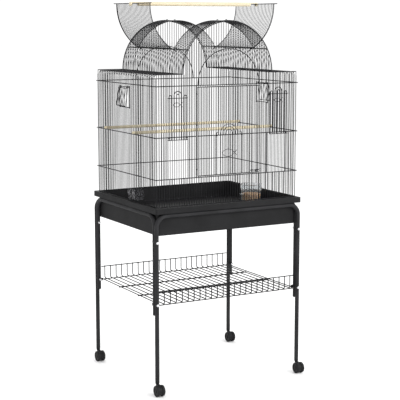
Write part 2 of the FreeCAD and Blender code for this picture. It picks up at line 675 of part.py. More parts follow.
def build_hatch():
    """The hatch that slides up in the middle of the front door."""
    foot, bar = DOOR_FOOT_Z + 1.0, MID_Z
    solids = []
    spring_z, post_z = bar + 4, bar + 6
    uprights = {0.5 * PITCH: bar}
    for r in (1.5 * PITCH, 2.5 * PITCH, 3.5 * PITCH):
        solids += arch(0, spring_z, -SLIDE_Y, r, WIRE_D, spans=3)
        uprights[r] = spring_z - GAP
    for sx, start, end in ((-1, 30, 180), (1, 0, 150)):
        for r, top in uprights.items():
            solids.append(rod((sx * r, -SLIDE_Y, foot), (sx * r, -SLIDE_Y, top), WIRE_D))
        post = sx * HATCH_X
        solids.append(rod((post, -SLIDE_Y, foot), (post, -SLIDE_Y, post_z - GAP), POST_D))
        solids += arch(post - sx * 4.5, post_z, -SLIDE_Y, 4.5, POST_D, start, end)
    bar_y = -SLIDE_Y - (POST_D + SLIDE_BAR_D) / 2 - GAP
    for z in (foot, bar):
        solids.append(rod((-HATCH_X - 3, bar_y, z), (HATCH_X + 3, bar_y, z), SLIDE_BAR_D))
    solids += leaping_fish(-5, MID_Z - 67, 54, bar_y)
    save("sliding_hatch", solids)


def build_feeder_door(side, raised, name):
    """A small door that slides down over a feeder opening, drawn up by raised."""
    bar = MID_Z + raised
    foot = bar - 151.5
    solids = []
    cx = side * FEEDER_DOOR_X
    for sx in (-1, 1):
        for k, top in ((0.5, bar + 9), (1.5, bar + 9), (2.5, bar + 5), (3.5, bar + 5)):
            x = cx + sx * k * PITCH
            solids.append(rod((x, -SLIDE_Y, foot), (x, -SLIDE_Y, top - GAP), SLIDE_D))
        solids += arch(cx + sx * 3 * PITCH, bar + 5, -SLIDE_Y, PITCH / 2, SLIDE_D, spans=2)
    for r in (0.5 * PITCH, 1.5 * PITCH):
        solids += arch(cx, bar + 9, -SLIDE_Y, r, SLIDE_D, spans=2)
    inner, outer = side * (FEEDER_DOOR_X - 39), side * (FEEDER_DOOR_X + 44)
    for z in (foot, bar):
        solids.append(rod((inner, -SLIDE_BAR_Y, z), (outer, -SLIDE_BAR_Y, z), SLIDE_BAR_D))
    solids += leaping_fish(cx - 6, bar - 24, 30, -SLIDE_BAR_Y)
    save(name, solids)


def build_side_flap(side, name):
    """A small wire flap, hooked on the rod over its opening."""
    axis_x = BAND_X
    width = FLAP_HALF_W - 1.5
    drop = FLAP_TOP_Z - FLAP_FOOT_Z - 4
    y0, y1 = -side * FLAP_MID_Y - width, -side * FLAP_MID_Y + width
    x = axis_x + BAND_D / 2 + 0.3 + WIRE_D / 2
    top, foot = FLAP_TOP_Z - 4.85, FLAP_TOP_Z - drop
    solids = [
        rod((x, y0, top), (x, y1, top), 3.0),
        rod((x, y0, foot), (x, y1, foot), 3.0),
    ]
    for y in (y0, y1):
        solids.append(rod((x, y, foot + 1.52), (x, y, top - 1.52), 2.4))
    count = 6
    for i in range(1, count + 1):
        y = y0 + (y1 - y0) * i / (count + 1)
        solids.append(rod((x + 2.65, y, foot - 1), (x + 2.65, y, top + 1), WIRE_D))
    for y in (-3 * PITCH, 3 * PITCH):
        solids.append(ring((axis_x, y - side * FLAP_MID_Y, FLAP_TOP_Z), Y, BAND_D + 0.6, WIRE_D))
    shape = Part.makeCompound(solids)
    shape.rotate(Vector(axis_x, 0, FLAP_TOP_Z), Y, -FLAP_LEAN)
    if side < 0:
        shape = shape.mirror(Vector(0, 0, 0), X)
    save(name, [shape])


# ---------------------------------------------------------------- perches and cups

def build_perches():
    rest_z = MID_Z + BAND_D / 2 + 0.1
    half = BAND_X + BAND_D / 2 + 2
    centre_z = rest_z + PERCH_D / 2 - 3
    for name, row in (("front_perch", -7), ("back_perch", 17)):
        y = row * PITCH
        perch = rod((-half, y, centre_z), (half, y, centre_z), PERCH_D)
        for sx in (-1, 1):
            flat_at = Vector(sx * (half - 4) - 4, y - PERCH_D / 2, rest_z - 6)
            kerf_at = Vector(sx * (half - 6) - 7, y - WIRE_D / 2 - 0.3, centre_z - 7)
            perch = perch.cut(Part.makeBox(8, PERCH_D, 6, flat_at))
            perch = perch.cut(Part.makeBox(14, WIRE_D + 0.6, 14, kerf_at))
        save(name, [perch])
    hx, hz = hinge_point(1)
    shut_x, shut_z = free_bar_shut()
    swung = FreeCAD.Rotation(Y, OPEN_ANGLE).multVec(Vector(shut_x - hx, 0, shut_z - hz))
    bar_x, bar_z = hx + swung.x, hz + swung.z
    centre_z = bar_z - 1.9
    half = bar_x + 9
    lap_z = bar_z + FREE_BAR_D / 2 + 0.2
    outer = bar_x + FREE_BAR_D / 2 + 0.3
    perch = rod((-half, 0, centre_z), (half, 0, centre_z), TOP_PERCH_D)
    for x in (-outer, outer - 26):
        notch = Part.makeBox(26, TOP_PERCH_D + 2, 20, Vector(x, -TOP_PERCH_D / 2 - 1, lap_z - 20))
        perch = perch.cut(notch)
    save("top_perch", [perch])


def build_cups():
    foot = Vector(CUP_X, CUP_Y, TUB_FLOOR_Z + 0.2)
    wall = Part.makeCone(CUP_R - 5, CUP_R - 1, CUP_H, foot)
    lip = Part.makeCylinder(CUP_R, 3, foot + Z * (CUP_H - 3))
    tab = Part.makeBox(16, 10, 2.5, foot + Vector(-CUP_R - 12, -16, SEED_H))
    well = Part.makeCone(CUP_R - 7, CUP_R - 3, CUP_H, foot + Z * 2)
    save("seed_cup", [wall.fuse(lip).fuse(tab).cut(well).removeSplitter()])
    seed_r = CUP_R - 7 + 4 * SEED_H / CUP_H
    heap = Part.makeSphere(150, foot + Z * (2 + SEED_H + 4 - 150))
    fill = Part.makeCone(CUP_R - 7.1, seed_r - 0.1, SEED_H + 4, foot + Z * 2.05).common(heap)
    save("seed_fill", [fill])

    x0, y0, z0 = -WALL_X + WIRE_D / 2 + 1.2, -79.0, 703.0
    box = slab(19.5, 37, 0, 38, 7)
    inside = slab(17.7, 35.2, 1.8, 39, 5.2)
    cup = box.cut(inside)
    cup.translate(Vector(x0 + 19.5, y0 + 37, z0))
    clips = []
    for row in (-6.5, -2.5):
        y = row * PITCH
        clips.append(Part.makeBox(4.5, 5, 10, Vector(x0 - 4.4, y - 2.5, z0 + 22)))
        clips.append(Part.makeBox(2.0, 14, 12, Vector(x0 - 6.4, y - 7, z0 + 21)))
    save("water_cup", [cup.fuse(clips).removeSplitter()])


build_stand()
build_shelf()
build_casters()
build_tub()
build_front_panel()
build_back_panel()
build_side_panel(-1, "left_panel")
build_side_panel(1, "right_panel")
build_roof_side(-1, "roof_left")
build_roof_side(1, "roof_right")
build_strip(-1, "dome_front_strip")
build_strip(1, "dome_back_strip")
build_hinge_bars()
build_dome_flap(-1, "dome_flap_left")
build_dome_flap(1, "dome_flap_right")
build_front_door()
build_latch()
build_hatch()
build_feeder_door(-1, 142.0, "feeder_door_left")
build_feeder_door(1, 146.0, "feeder_door_right")
build_side_flap(-1, "side_flap_left")
build_side_flap(1, "side_flap_right")
build_perches()
build_cups()
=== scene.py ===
import json
import math
import random

import bpy
import numpy as np
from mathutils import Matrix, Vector


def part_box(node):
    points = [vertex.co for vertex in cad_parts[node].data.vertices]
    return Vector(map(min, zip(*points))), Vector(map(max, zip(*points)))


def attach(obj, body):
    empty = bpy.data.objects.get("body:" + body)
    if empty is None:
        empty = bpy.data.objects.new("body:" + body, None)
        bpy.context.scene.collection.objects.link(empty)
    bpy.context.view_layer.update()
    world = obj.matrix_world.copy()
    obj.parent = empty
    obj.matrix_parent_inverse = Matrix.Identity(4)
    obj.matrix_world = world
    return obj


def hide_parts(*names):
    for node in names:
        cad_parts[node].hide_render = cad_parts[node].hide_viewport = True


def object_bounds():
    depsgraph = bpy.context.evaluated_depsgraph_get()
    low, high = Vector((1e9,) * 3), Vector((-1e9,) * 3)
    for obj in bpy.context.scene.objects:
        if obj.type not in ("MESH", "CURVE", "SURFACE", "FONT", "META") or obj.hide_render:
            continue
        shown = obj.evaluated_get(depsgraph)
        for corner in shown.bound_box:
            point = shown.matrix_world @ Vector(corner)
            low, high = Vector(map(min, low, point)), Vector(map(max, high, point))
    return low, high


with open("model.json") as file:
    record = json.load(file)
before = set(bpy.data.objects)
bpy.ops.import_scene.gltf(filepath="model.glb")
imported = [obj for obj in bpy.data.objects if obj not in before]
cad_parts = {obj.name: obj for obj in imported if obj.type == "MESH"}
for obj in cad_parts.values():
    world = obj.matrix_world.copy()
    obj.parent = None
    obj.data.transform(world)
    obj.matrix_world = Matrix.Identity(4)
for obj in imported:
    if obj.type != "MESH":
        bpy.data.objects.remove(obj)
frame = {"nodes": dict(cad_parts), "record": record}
CAD_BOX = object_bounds()

# The bird cage on its stand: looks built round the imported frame. Metres, +Z up, front to -Y.

TUBE_R = 0.008
BEND_R = 0.040
CORNERS = ("front_left", "front_right", "back_left", "back_right")

# The camera stands ahead and to the left, at a person's chest height
CAMERA_PLACE = (-2.2339, -4.0559, 1.3775)
CAMERA_YAW = -29.066
CAMERA_PITCH = -8.649
LENS_MM = 107.13

# ------------------------------------------------------------------ meshes


def piece(name, verts, faces, material, body, nodes=(), smooth_angle=40):
    """A mesh piece that rides on a body and stands for those CAD nodes."""
    mesh = bpy.data.meshes.new(name)
    mesh.from_pydata([tuple(v) for v in verts], [], faces)
    mesh.validate()
    mesh.materials.append(material)
    obj = bpy.data.objects.new(name, mesh)
    bpy.context.scene.collection.objects.link(obj)
    mesh.set_sharp_from_angle(angle=math.radians(smooth_angle))
    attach(obj, body)
    if nodes:
        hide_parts(*nodes)
    return obj


class Build:
    """Collects parts of one mesh."""

    def __init__(self):
        self.verts = []
        self.faces = []

    def add(self, verts, faces):
        base = len(self.verts)
        self.verts.extend(verts)
        self.faces.extend([tuple(base + i for i in face) for face in faces])
        return self

    def loops(self, rings, closed=False, caps=True):
        """Skins rings of equal length, one after another."""
        n = len(rings[0])
        verts = [v for ring in rings for v in ring]
        count = len(rings)
        faces = []
        for k in range(count if closed else count - 1):
            a, b = k * n, ((k + 1) % count) * n
            faces += [(a + i, a + (i + 1) % n, b + (i + 1) % n, b + i) for i in range(n)]
        if caps and not closed:
            faces.append(tuple(reversed(range(n))))
            faces.append(tuple(range((count - 1) * n, count * n)))
        return self.add(verts, faces)

    def tube(self, path, radius, sides=12, closed=False, dome=0.5):
        """A round tube along a path, with softly rounded ends.

        radius is one value, or one per point.
        """
        pts = [Vector(p) for p in path]
        radii = [radius] * len(pts) if isinstance(radius, float) else list(radius)
        if not closed and dome:
            pts, radii = rounded_ends(pts, radii, dome)
        rings = []
        side = None
        count = len(pts)
        for i, p in enumerate(pts):
            before = pts[i - 1] if closed or i else p
            after = pts[(i + 1) % count] if closed or i < count - 1 else p
            along = (after - before).normalized()
            if side is None:
                side = along.orthogonal().normalized()
            side = (side - along * side.dot(along)).normalized()
            other = along.cross(side)
            rings.append([
                p + radii[i] * (math.cos(t) * side + math.sin(t) * other)
                for t in (math.tau * k / sides for k in range(sides))
            ])
        return self.loops(rings, closed)

    def turned(self, profile, place, axis, sides=40):
        """Turns (radius, height) points about an axis through place.

        Ends at radius 0 close to a small disc.
        """
        axis = Vector(axis).normalized()
        side = axis.orthogonal().normalized()
        other = axis.cross(side)
        place = Vector(place)
        rings = [
            [
                place + axis * h + max(r, 1e-5) * (math.cos(t) * side + math.sin(t) * other)
                for t in (math.tau * k / sides for k in range(sides))
            ]
            for r, h in profile
        ]
        return self.loops(rings)

    def make(self, name, material, body, nodes=(), smooth_angle=40):
        return piece(name, self.verts, self.faces, material, body, nodes, smooth_angle)


def rounded_ends(pts, radii, dome):
    """Adds a small quarter-round at both ends, inside the tube's own length."""
    steps = ((0.0, 0.55), (0.25, 0.85), (0.6, 1.0))
    first, last = [], []
    ends = ((pts[0], pts[1], first, radii[0]), (pts[-1], pts[-2], last, radii[-1]))
    for end, nxt, out, r in ends:
        way = (nxt - end).normalized()
        out.extend((end + way * (back * dome * r), r * part) for back, part in steps)
    new = first + list(zip(pts[1:-1], radii[1:-1])) + last[::-1]
    return [p for p, _ in new], [r for _, r in new]


def arc(centre, radius, u, v, start, end, steps):
    """Points round part of a circle; u and v are its unit directions, angles in degrees."""
    c, u, v = Vector(centre), Vector(u), Vector(v)
    angles = [math.radians(start + (end - start) * k / steps) for k in range(steps + 1)]
    return [c + radius * (math.cos(a) * u + math.sin(a) * v) for a in angles]


def rounded_rectangle(half_x, half_y, corner, z, centre=(0, 0), steps=7):
    """A loop of points. Each straight side also has a point close to either end, to keep it flat."""
    points = []
    near = 0.0004
    for quarter, (sx, sy) in enumerate(((1, 1), (-1, 1), (-1, -1), (1, -1))):
        cx, cy = centre[0] + sx * (half_x - corner), centre[1] + sy * (half_y - corner)
        for k in range(steps + 1):
            a = math.radians(90 * (quarter + k / steps))
            p = Vector((cx + corner * math.cos(a), cy + corner * math.sin(a), z))
            along = Vector((-math.sin(a), math.cos(a), 0)) * near
            if k == 0:
                points.append(p - along)
            points.append(p)
            if k == steps:
                points.append(p + along)
    return points


# ------------------------------------------------------------------ materials


class Nodes:
    """A small helper round one material's node tree."""

    def __init__(self, name):
        self.material = bpy.data.materials.new(name)
        self.material.use_nodes = True
        self.tree = self.material.node_tree
        self.shader = self.tree.nodes["Principled BSDF"]
        self.place = self.node("ShaderNodeTexCoord").outputs["Object"]

    def node(self, kind, **settings):
        made = self.tree.nodes.new(kind)
        for key, value in settings.items():
            setattr(made, key, value)
        return made

    def link(self, a, b):
        self.tree.links.new(a, b)

    def noise(self, scale, detail=4.0, stretch=(1, 1, 1), roughness=0.55):
        mapping = self.node("ShaderNodeMapping")
        mapping.inputs["Scale"].default_value = stretch
        self.link(self.place, mapping.inputs["Vector"])
        made = self.node("ShaderNodeTexNoise")
        made.inputs["Scale"].default_value = scale
        made.inputs["Detail"].default_value = detail
        made.inputs["Roughness"].default_value = roughness
        self.link(mapping.outputs["Vector"], made.inputs["Vector"])
        return made.outputs["Fac"]

    def ramp(self, value, stops):
        made = self.node("ShaderNodeValToRGB")
        while len(made.color_ramp.elements) < len(stops):
            made.color_ramp.elements.new(0.5)
        for element, (at, colour) in zip(made.color_ramp.elements, stops):
            element.position = at
            element.color = (*colour, 1)
        self.link(value, made.inputs["Fac"])
        return made.outputs["Color"]

    def span(self, value, low, high):
        made = self.node("ShaderNodeMapRange")
        made.inputs["To Min"].default_value = low
        made.inputs["To Max"].default_value = high
        self.link(value, made.inputs["Value"])
        return made.outputs["Result"]

    def bump(self, value, distance, strength=1.0):
        made = self.node("ShaderNodeBump")
        made.inputs["Distance"].default_value = distance
        made.inputs["Strength"].default_value = strength
        self.link(value, made.inputs["Height"])
        self.link(made.outputs["Normal"], self.shader.inputs["Normal"])

    def set(self, name, value):
        self.shader.inputs[name].default_value = value


def paint(name, dark, light, rough=(0.36, 0.5), grain=900.0, depth=0.00006):
    """Powder coat: a fine orange-peel surface, a little uneven in tone."""
    m = Nodes(name)
    m.set("Specular IOR Level", 0.12)
    m.link(m.ramp(m.noise(14.0, 3.0), ((0.35, dark), (0.7, light))), m.shader.inputs["Base Color"])
    m.link(m.span(m.noise(40.0, 3.0), *rough), m.shader.inputs["Roughness"])
    m.bump(m.noise(grain, 2.0), depth, 0.5)
    return m.material


def plastic(name, dark, light, rough=(0.42, 0.58), grain=1400.0, depth=0.00012, shine=0.07):
    """Moulded plastic with a fine spark-eroded grain."""
    m = Nodes(name)
    m.set("Specular IOR Level", shine)
    m.link(m.ramp(m.noise(9.0, 5.0), ((0.3, dark), (0.72, light))), m.shader.inputs["Base Color"])
    m.link(m.span(m.noise(25.0, 5.0), *rough), m.shader.inputs["Roughness"])
    m.bump(m.noise(grain, 3.0), depth, 0.4)
    return m.material


def steel(name, tone):
    m = Nodes(name)
    brushed = m.noise(600.0, 3.0, (1, 1, 8))
    dull = tuple(0.8 * c for c in tone)
    m.link(m.ramp(brushed, ((0.3, dull), (0.7, tone))), m.shader.inputs["Base Color"])
    m.link(m.span(brushed, 0.22, 0.38), m.shader.inputs["Roughness"])
    m.set("Metallic", 1.0)
    m.bump(brushed, 0.00003, 0.3)
    return m.material


def wood(name, pale, deep):
    """Turned dowel: grain along X, with finer pores."""
    m = Nodes(name)
    grain = m.noise(60.0, 6.0, (0.07, 1, 1), 0.6)
    pores = m.noise(420.0, 3.0, (0.05, 1, 1), 0.7)
    mix = m.node("ShaderNodeMix", data_type="RGBA", blend_type="MULTIPLY")
    mix.inputs["Factor"].default_value = 0.45
    m.link(m.ramp(grain, ((0.3, deep), (0.62, pale))), mix.inputs["A"])
    m.link(m.ramp(pores, ((0.35, (0.74, 0.68, 0.58)), (0.6, (1, 1, 1)))), mix.inputs["B"])
    m.link(mix.outputs["Result"], m.shader.inputs["Base Color"])
    m.link(m.span(grain, 0.5, 0.68), m.shader.inputs["Roughness"])
    m.bump(pores, 0.0002, 0.5)
    return m.material


def clear(name, tint):
    m = Nodes(name)
    m.set("Base Color", (*tint, 1))
    m.set("Specular IOR Level", 0.4)
    m.set("Transmission Weight", 0.92)
    m.set("IOR", 1.22)
    m.link(m.span(m.noise(30.0, 4.0), 0.02, 0.08), m.shader.inputs["Roughness"])
    m.bump(m.noise(60.0, 2.0), 0.0002, 0.15)
    return m.material


def seed(name):
    m = Nodes(name)
    stops = (
        (0.3, (0.18, 0.085, 0.035)), (0.45, (0.46, 0.25, 0.11)),
        (0.58, (0.78, 0.50, 0.24)), (0.7, (0.28, 0.14, 0.06)),
    )
    m.link(m.ramp(m.noise(330.0, 2.0), stops), m.shader.inputs["Base Color"])
    m.set("Roughness", 0.55)
    m.bump(m.noise(900.0, 3.0), 0.0003, 0.6)
    return m.material


WIRE = paint("wire_paint", (0.008, 0.008, 0.009), (0.016, 0.016, 0.018), (0.45, 0.6))
TUBE = paint("tube_paint", (0.016, 0.016, 0.017), (0.026, 0.026, 0.028), (0.5, 0.64), 700.0)
TUB = plastic("tub_plastic", (0.012, 0.012, 0.0125), (0.019, 0.019, 0.020), (0.5, 0.64))
BLACK = plastic(
    "caster_plastic", (0.008, 0.008, 0.009), (0.016, 0.016, 0.017), (0.4, 0.55), shine=0.14,
)
BOLT = steel("bolt_steel", (0.78, 0.78, 0.8))
STEEL = steel("caster_steel", (0.6, 0.6, 0.62))
WOOD = wood("perch_wood", (0.74, 0.67, 0.49), (0.60, 0.51, 0.35))
CLEAR = clear("clear_plastic", (0.93, 0.95, 0.96))
SMOKE = clear("smoke_plastic", (0.42, 0.42, 0.44))
SEED = seed("seed_mix")

# ------------------------------------------------------------------ wires


def solids_of(node):
    """The vertices of each separate solid in a CAD node's mesh."""
    mesh = frame["nodes"][node].data
    co = np.array([v.co for v in mesh.vertices])
    keys = {}
    same = np.array([keys.setdefault(tuple(np.round(p, 6)), len(keys)) for p in co])
    spots = np.zeros((len(keys), 3))
    spots[same] = co
    parent = list(range(len(keys)))

    def root(i):
        while parent[i] != i:
            parent[i] = parent[parent[i]]
            i = parent[i]
        return i

    for polygon in mesh.polygons:
        corners = [root(same[i]) for i in polygon.vertices]
        for other in corners[1:]:
            parent[root(other)] = root(corners[0])
    groups = {}
    for i in range(len(keys)):
        groups.setdefault(root(i), []).append(i)
    return [spots[sorted(g)] for g in groups.values()]


def corners_of(points):
    """Lowest and highest corner of a solid's vertices."""
    return Vector(points.min(0).tolist()), Vector(points.max(0).tolist())


def straight(points):
    """(start, end, radius) if the solid is a straight rod, or None."""
    centre = points.mean(0)
    axis = np.linalg.svd(points - centre, full_matrices=False)[2][0]
    along = (points - centre) @ axis
    low, high = along.min(), along.max()
    at_low, at_high = along < low + 2e-5, along > high - 2e-5
    if not (at_low | at_high).all():
        return None
    a, b = points[at_low].mean(0), points[at_high].mean(0)
    return a, b, float(np.linalg.norm(points[at_low] - a, axis=1).max())


def bent(points):
    """(centre, radius, u, v, start, end, wire radius) of a rod bent in a plane square to an axis.

    end is start + 360 for a ring.
    """
    size = np.ptp(points, axis=0)
    n = int(np.argmin(size))
    i, j = [k for k in range(3) if k != n]
    height = points[:, n] - (points[:, n].max() + points[:, n].min()) / 2
    x, y = points[:, i], points[:, j]
    left = np.column_stack([2 * x, 2 * y, np.ones(len(x))])
    cx, cy, k = np.linalg.lstsq(left, x**2 + y**2, rcond=None)[0]
    big = math.sqrt(k + cx**2 + cy**2)
    small = size[n] / 2
    for _ in range(12):
        dx, dy = x - cx, y - cy
        rho = np.hypot(dx, dy)
        off = np.hypot(rho - big, height)
        slope = (rho - big) / off
        left = np.column_stack([-slope * dx / rho, -slope * dy / rho, -slope, -np.ones(len(x))])
        step = np.linalg.lstsq(left, -(off - small), rcond=None)[0]
        cx, cy, big, small = cx + step[0], cy + step[1], big + step[2], small + step[3]
    centre = np.zeros(3)
    centre[[i, j, n]] = cx, cy, (points[:, n].max() + points[:, n].min()) / 2
    u, v = np.zeros(3), np.zeros(3)
    u[i], v[j] = 1, 1
    angles = np.sort(np.degrees(np.arctan2(y - cy, x - cx)))
    gaps = np.diff(np.append(angles, angles[0] + 360))
    widest = int(np.argmax(gaps))
    if gaps[widest] < 90:
        return centre, big, u, v, 0.0, 360.0, small
    start = angles[(widest + 1) % len(angles)]
    end = start + 360 - gaps[widest]
    return centre, big, u, v, start, end, small


def round_wires(node, body, material=WIRE, sides=12):
    """Stands smooth round wires in the place of a node's rods."""
    made = Build()
    for points in solids_of(node):
        run = straight(points)
        if run:
            a, b, radius = run
            made.tube([a, b], radius, sides)
            continue
        centre, big, u, v, start, end, small = bent(points)
        steps = max(3, int(abs(end - start) / 360 * (24 + 500 * big)))
        path = arc(centre, float(big), u, v, start, end, steps)
        ring = end - start == 360
        made.tube(path[:-1] if ring else path, float(small), sides, ring, 0.15)
    return made.make(node + "_wires", material, body, [node])


BODIES = frame["record"]["behaviour"]["bodies"]
BODY_OF = {node: body for body, nodes in BODIES.items() for node in nodes}
WIRE_NODES = [
    "front_panel", "back_panel", "left_panel", "right_panel", "roof_left", "roof_right",
    "dome_front_strip", "dome_back_strip", "dome_hinge_bars", "dome_flap_left", "dome_flap_right",
    "front_door", "sliding_hatch", "feeder_door_left", "feeder_door_right",
    "side_flap_left", "side_flap_right",
]
for name in WIRE_NODES:
    round_wires(name, BODY_OF[name])

# ------------------------------------------------------------------ stand


def inverted_u(foot_a, foot_b, top_z):
    """The path of a tube: up from foot_a, over at top_z and down to foot_b, with round bends."""
    a, b = Vector(foot_a), Vector(foot_b)
    across = (b - a).normalized()
    up = Vector((0, 0, 1))
    turn_z = top_z - BEND_R
    left = Vector((a.x, a.y, turn_z)) + across * BEND_R
    right = Vector((b.x, b.y, turn_z)) - across * BEND_R
    path = [a, a + up * 0.01]
    path += arc(left, BEND_R, up, -across, 90, 0, 12)
    path += arc(right, BEND_R, up, across, 0, 90, 12)
    return path + [b + up * 0.01, b]


for name in ("front_leg_frame", "back_leg_frame"):
    low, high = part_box(name)
    y, x = (low.y + high.y) / 2, high.x - TUBE_R
    path = inverted_u((-x, y, low.z), (x, y, low.z), high.z - TUBE_R)
    Build().tube(path, TUBE_R, 32).make(name + "_tube", TUBE, "stand", [name])
for name in ("left_side_frame", "right_side_frame"):
    low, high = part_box(name)
    x = (low.x + high.x) / 2
    path = inverted_u((x, low.y + TUBE_R, low.z), (x, high.y - TUBE_R, low.z), high.z - TUBE_R)
    Build().tube(path, TUBE_R, 32).make(name + "_tube", TUBE, "stand", [name])

MIDDLE_Y = (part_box("left_panel")[0].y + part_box("left_panel")[1].y) / 2


def hexagon(centre, axis, across, height, count=36):
    """A ring of points round a hexagon with its flats across apart."""
    axis = Vector(axis)
    side = axis.orthogonal().normalized()
    other = axis.cross(side)
    ring = []
    for k in range(count):
        t = math.tau * k / count
        flat = (t + math.pi / 6) % (math.pi / 3) - math.pi / 6
        reach = across / 2 / math.cos(flat)
        ring.append(Vector(centre) + axis * height + reach * (math.cos(t) * side + math.sin(t) * other))
    return ring


bolts = Build()
for points in solids_of("frame_bolts"):
    low, high = corners_of(points)
    out = 1 if low[1] + high[1] > 2 * MIDDLE_Y else -1
    seat = (high[1] if out > 0 else low[1]) - out * 0.0036
    place = ((low[0] + high[0]) / 2, seat, (low[2] + high[2]) / 2)
    profile = [
        (0, -0.006), (0.0025, -0.006), (0.0025, 0), (0.0048, 0), (0.0052, 0.0004),
        (0.0052, 0.0012), (0.0049, 0.0019), (0.0041, 0.0027), (0.0030, 0.0032),
        (0.0022, 0.0034), (0.0020, 0.0026), (0, 0.0024),
    ]
    bolts.turned(profile, place, (0, out, 0), 28)
bolts.make("frame_bolts_turned", BOLT, "stand", ["frame_bolts"])

nuts = Build()
for points in solids_of("frame_nuts"):
    low, high = corners_of(points)
    way = -1 if low[1] + high[1] > 2 * MIDDLE_Y else 1
    seat = low[1] if way > 0 else high[1]
    place = Vector(((low[0] + high[0]) / 2, seat, (low[2] + high[2]) / 2))
    axis = Vector((0, way, 0))
    flats = ((0.0078, 0.0), (0.0086, 0.0003), (0.0086, 0.0042), (0.0078, 0.0046))
    rings = [hexagon(place, axis, across, height) for across, height in flats]
    side = axis.orthogonal().normalized()
    other = axis.cross(side)
    cap = ((0.0037, 0.0048), (0.0037, 0.0066), (0.0033, 0.0082), (0.0022, 0.0094), (0.0008, 0.0098))
    for r, h in cap:
        rings.append([
            place + axis * h + r * (math.cos(t) * side + math.sin(t) * other)
            for t in (math.tau * k / 36 for k in range(36))
        ])
    nuts.loops(rings)
nuts.make("frame_nuts_domed", BOLT, "stand", ["frame_nuts"])

caps = Build()
for points in solids_of("tube_end_caps"):
    low, high = corners_of(points)
    place = ((low[0] + high[0]) / 2, (low[1] + high[1]) / 2, low[2])
    profile = [
        (0, 0), (0.0066, 0), (0.0079, 0.0007), (0.0080, 0.0012), (0.0080, 0.0020), (0.0066, 0.0021),
        (0.0066, 0.006), (0, 0.006),
    ]
    caps.turned(profile, place, (0, 0, 1))
caps.make("tube_end_plugs", BLACK, "stand", ["tube_end_caps"])

collars = Build()
for points in solids_of("caster_sockets"):
    low, high = corners_of(points)
    place = ((low[0] + high[0]) / 2, (low[1] + high[1]) / 2, low[2])
    profile = [
        (0.0042, 0.006), (0.0042, 0), (0.0070, 0), (0.0079, 0.0003), (0.0079, 0.0015), (0.0066, 0.0016),
        (0.0066, 0.006),
    ]
    collars.turned(profile, place, (0, 0, 1))
collars.make("caster_collars", BLACK, "stand", ["caster_sockets"])

shelf = Build()
for points in solids_of("shelf_basket"):
    size = np.ptp(points, axis=0)
    run = straight(points)
    if run:
        a, b, radius = run
        shelf.tube([a, b], radius, 12)
    elif abs(size[1] - 0.002) < 0.0003:
        low, high = corners_of(points)
        rings = []
        middle_x, middle_z = (low[0] + high[0]) / 2, (low[2] + high[2]) / 2
        bevel = 0.0003
        for y, inset in ((low[1], bevel), (low[1] + bevel, 0), (high[1] - bevel, 0), (high[1], bevel)):
            flat = rounded_rectangle(size[0] / 2 - inset, size[2] / 2 - inset, 0.003, 0)
            rings.append([Vector((middle_x + p.x, y, middle_z - p.y)) for p in flat])
        shelf.loops(rings)
    else:
        centre, big, u, v, start, end, small = bent(points)
        shelf.tube(arc(centre, float(big), u, v, start, end, 8), float(small), 12, dome=0)
shelf.make("shelf_basket_wires", WIRE, "stand", ["shelf_basket"])

# ------------------------------------------------------------------ casters


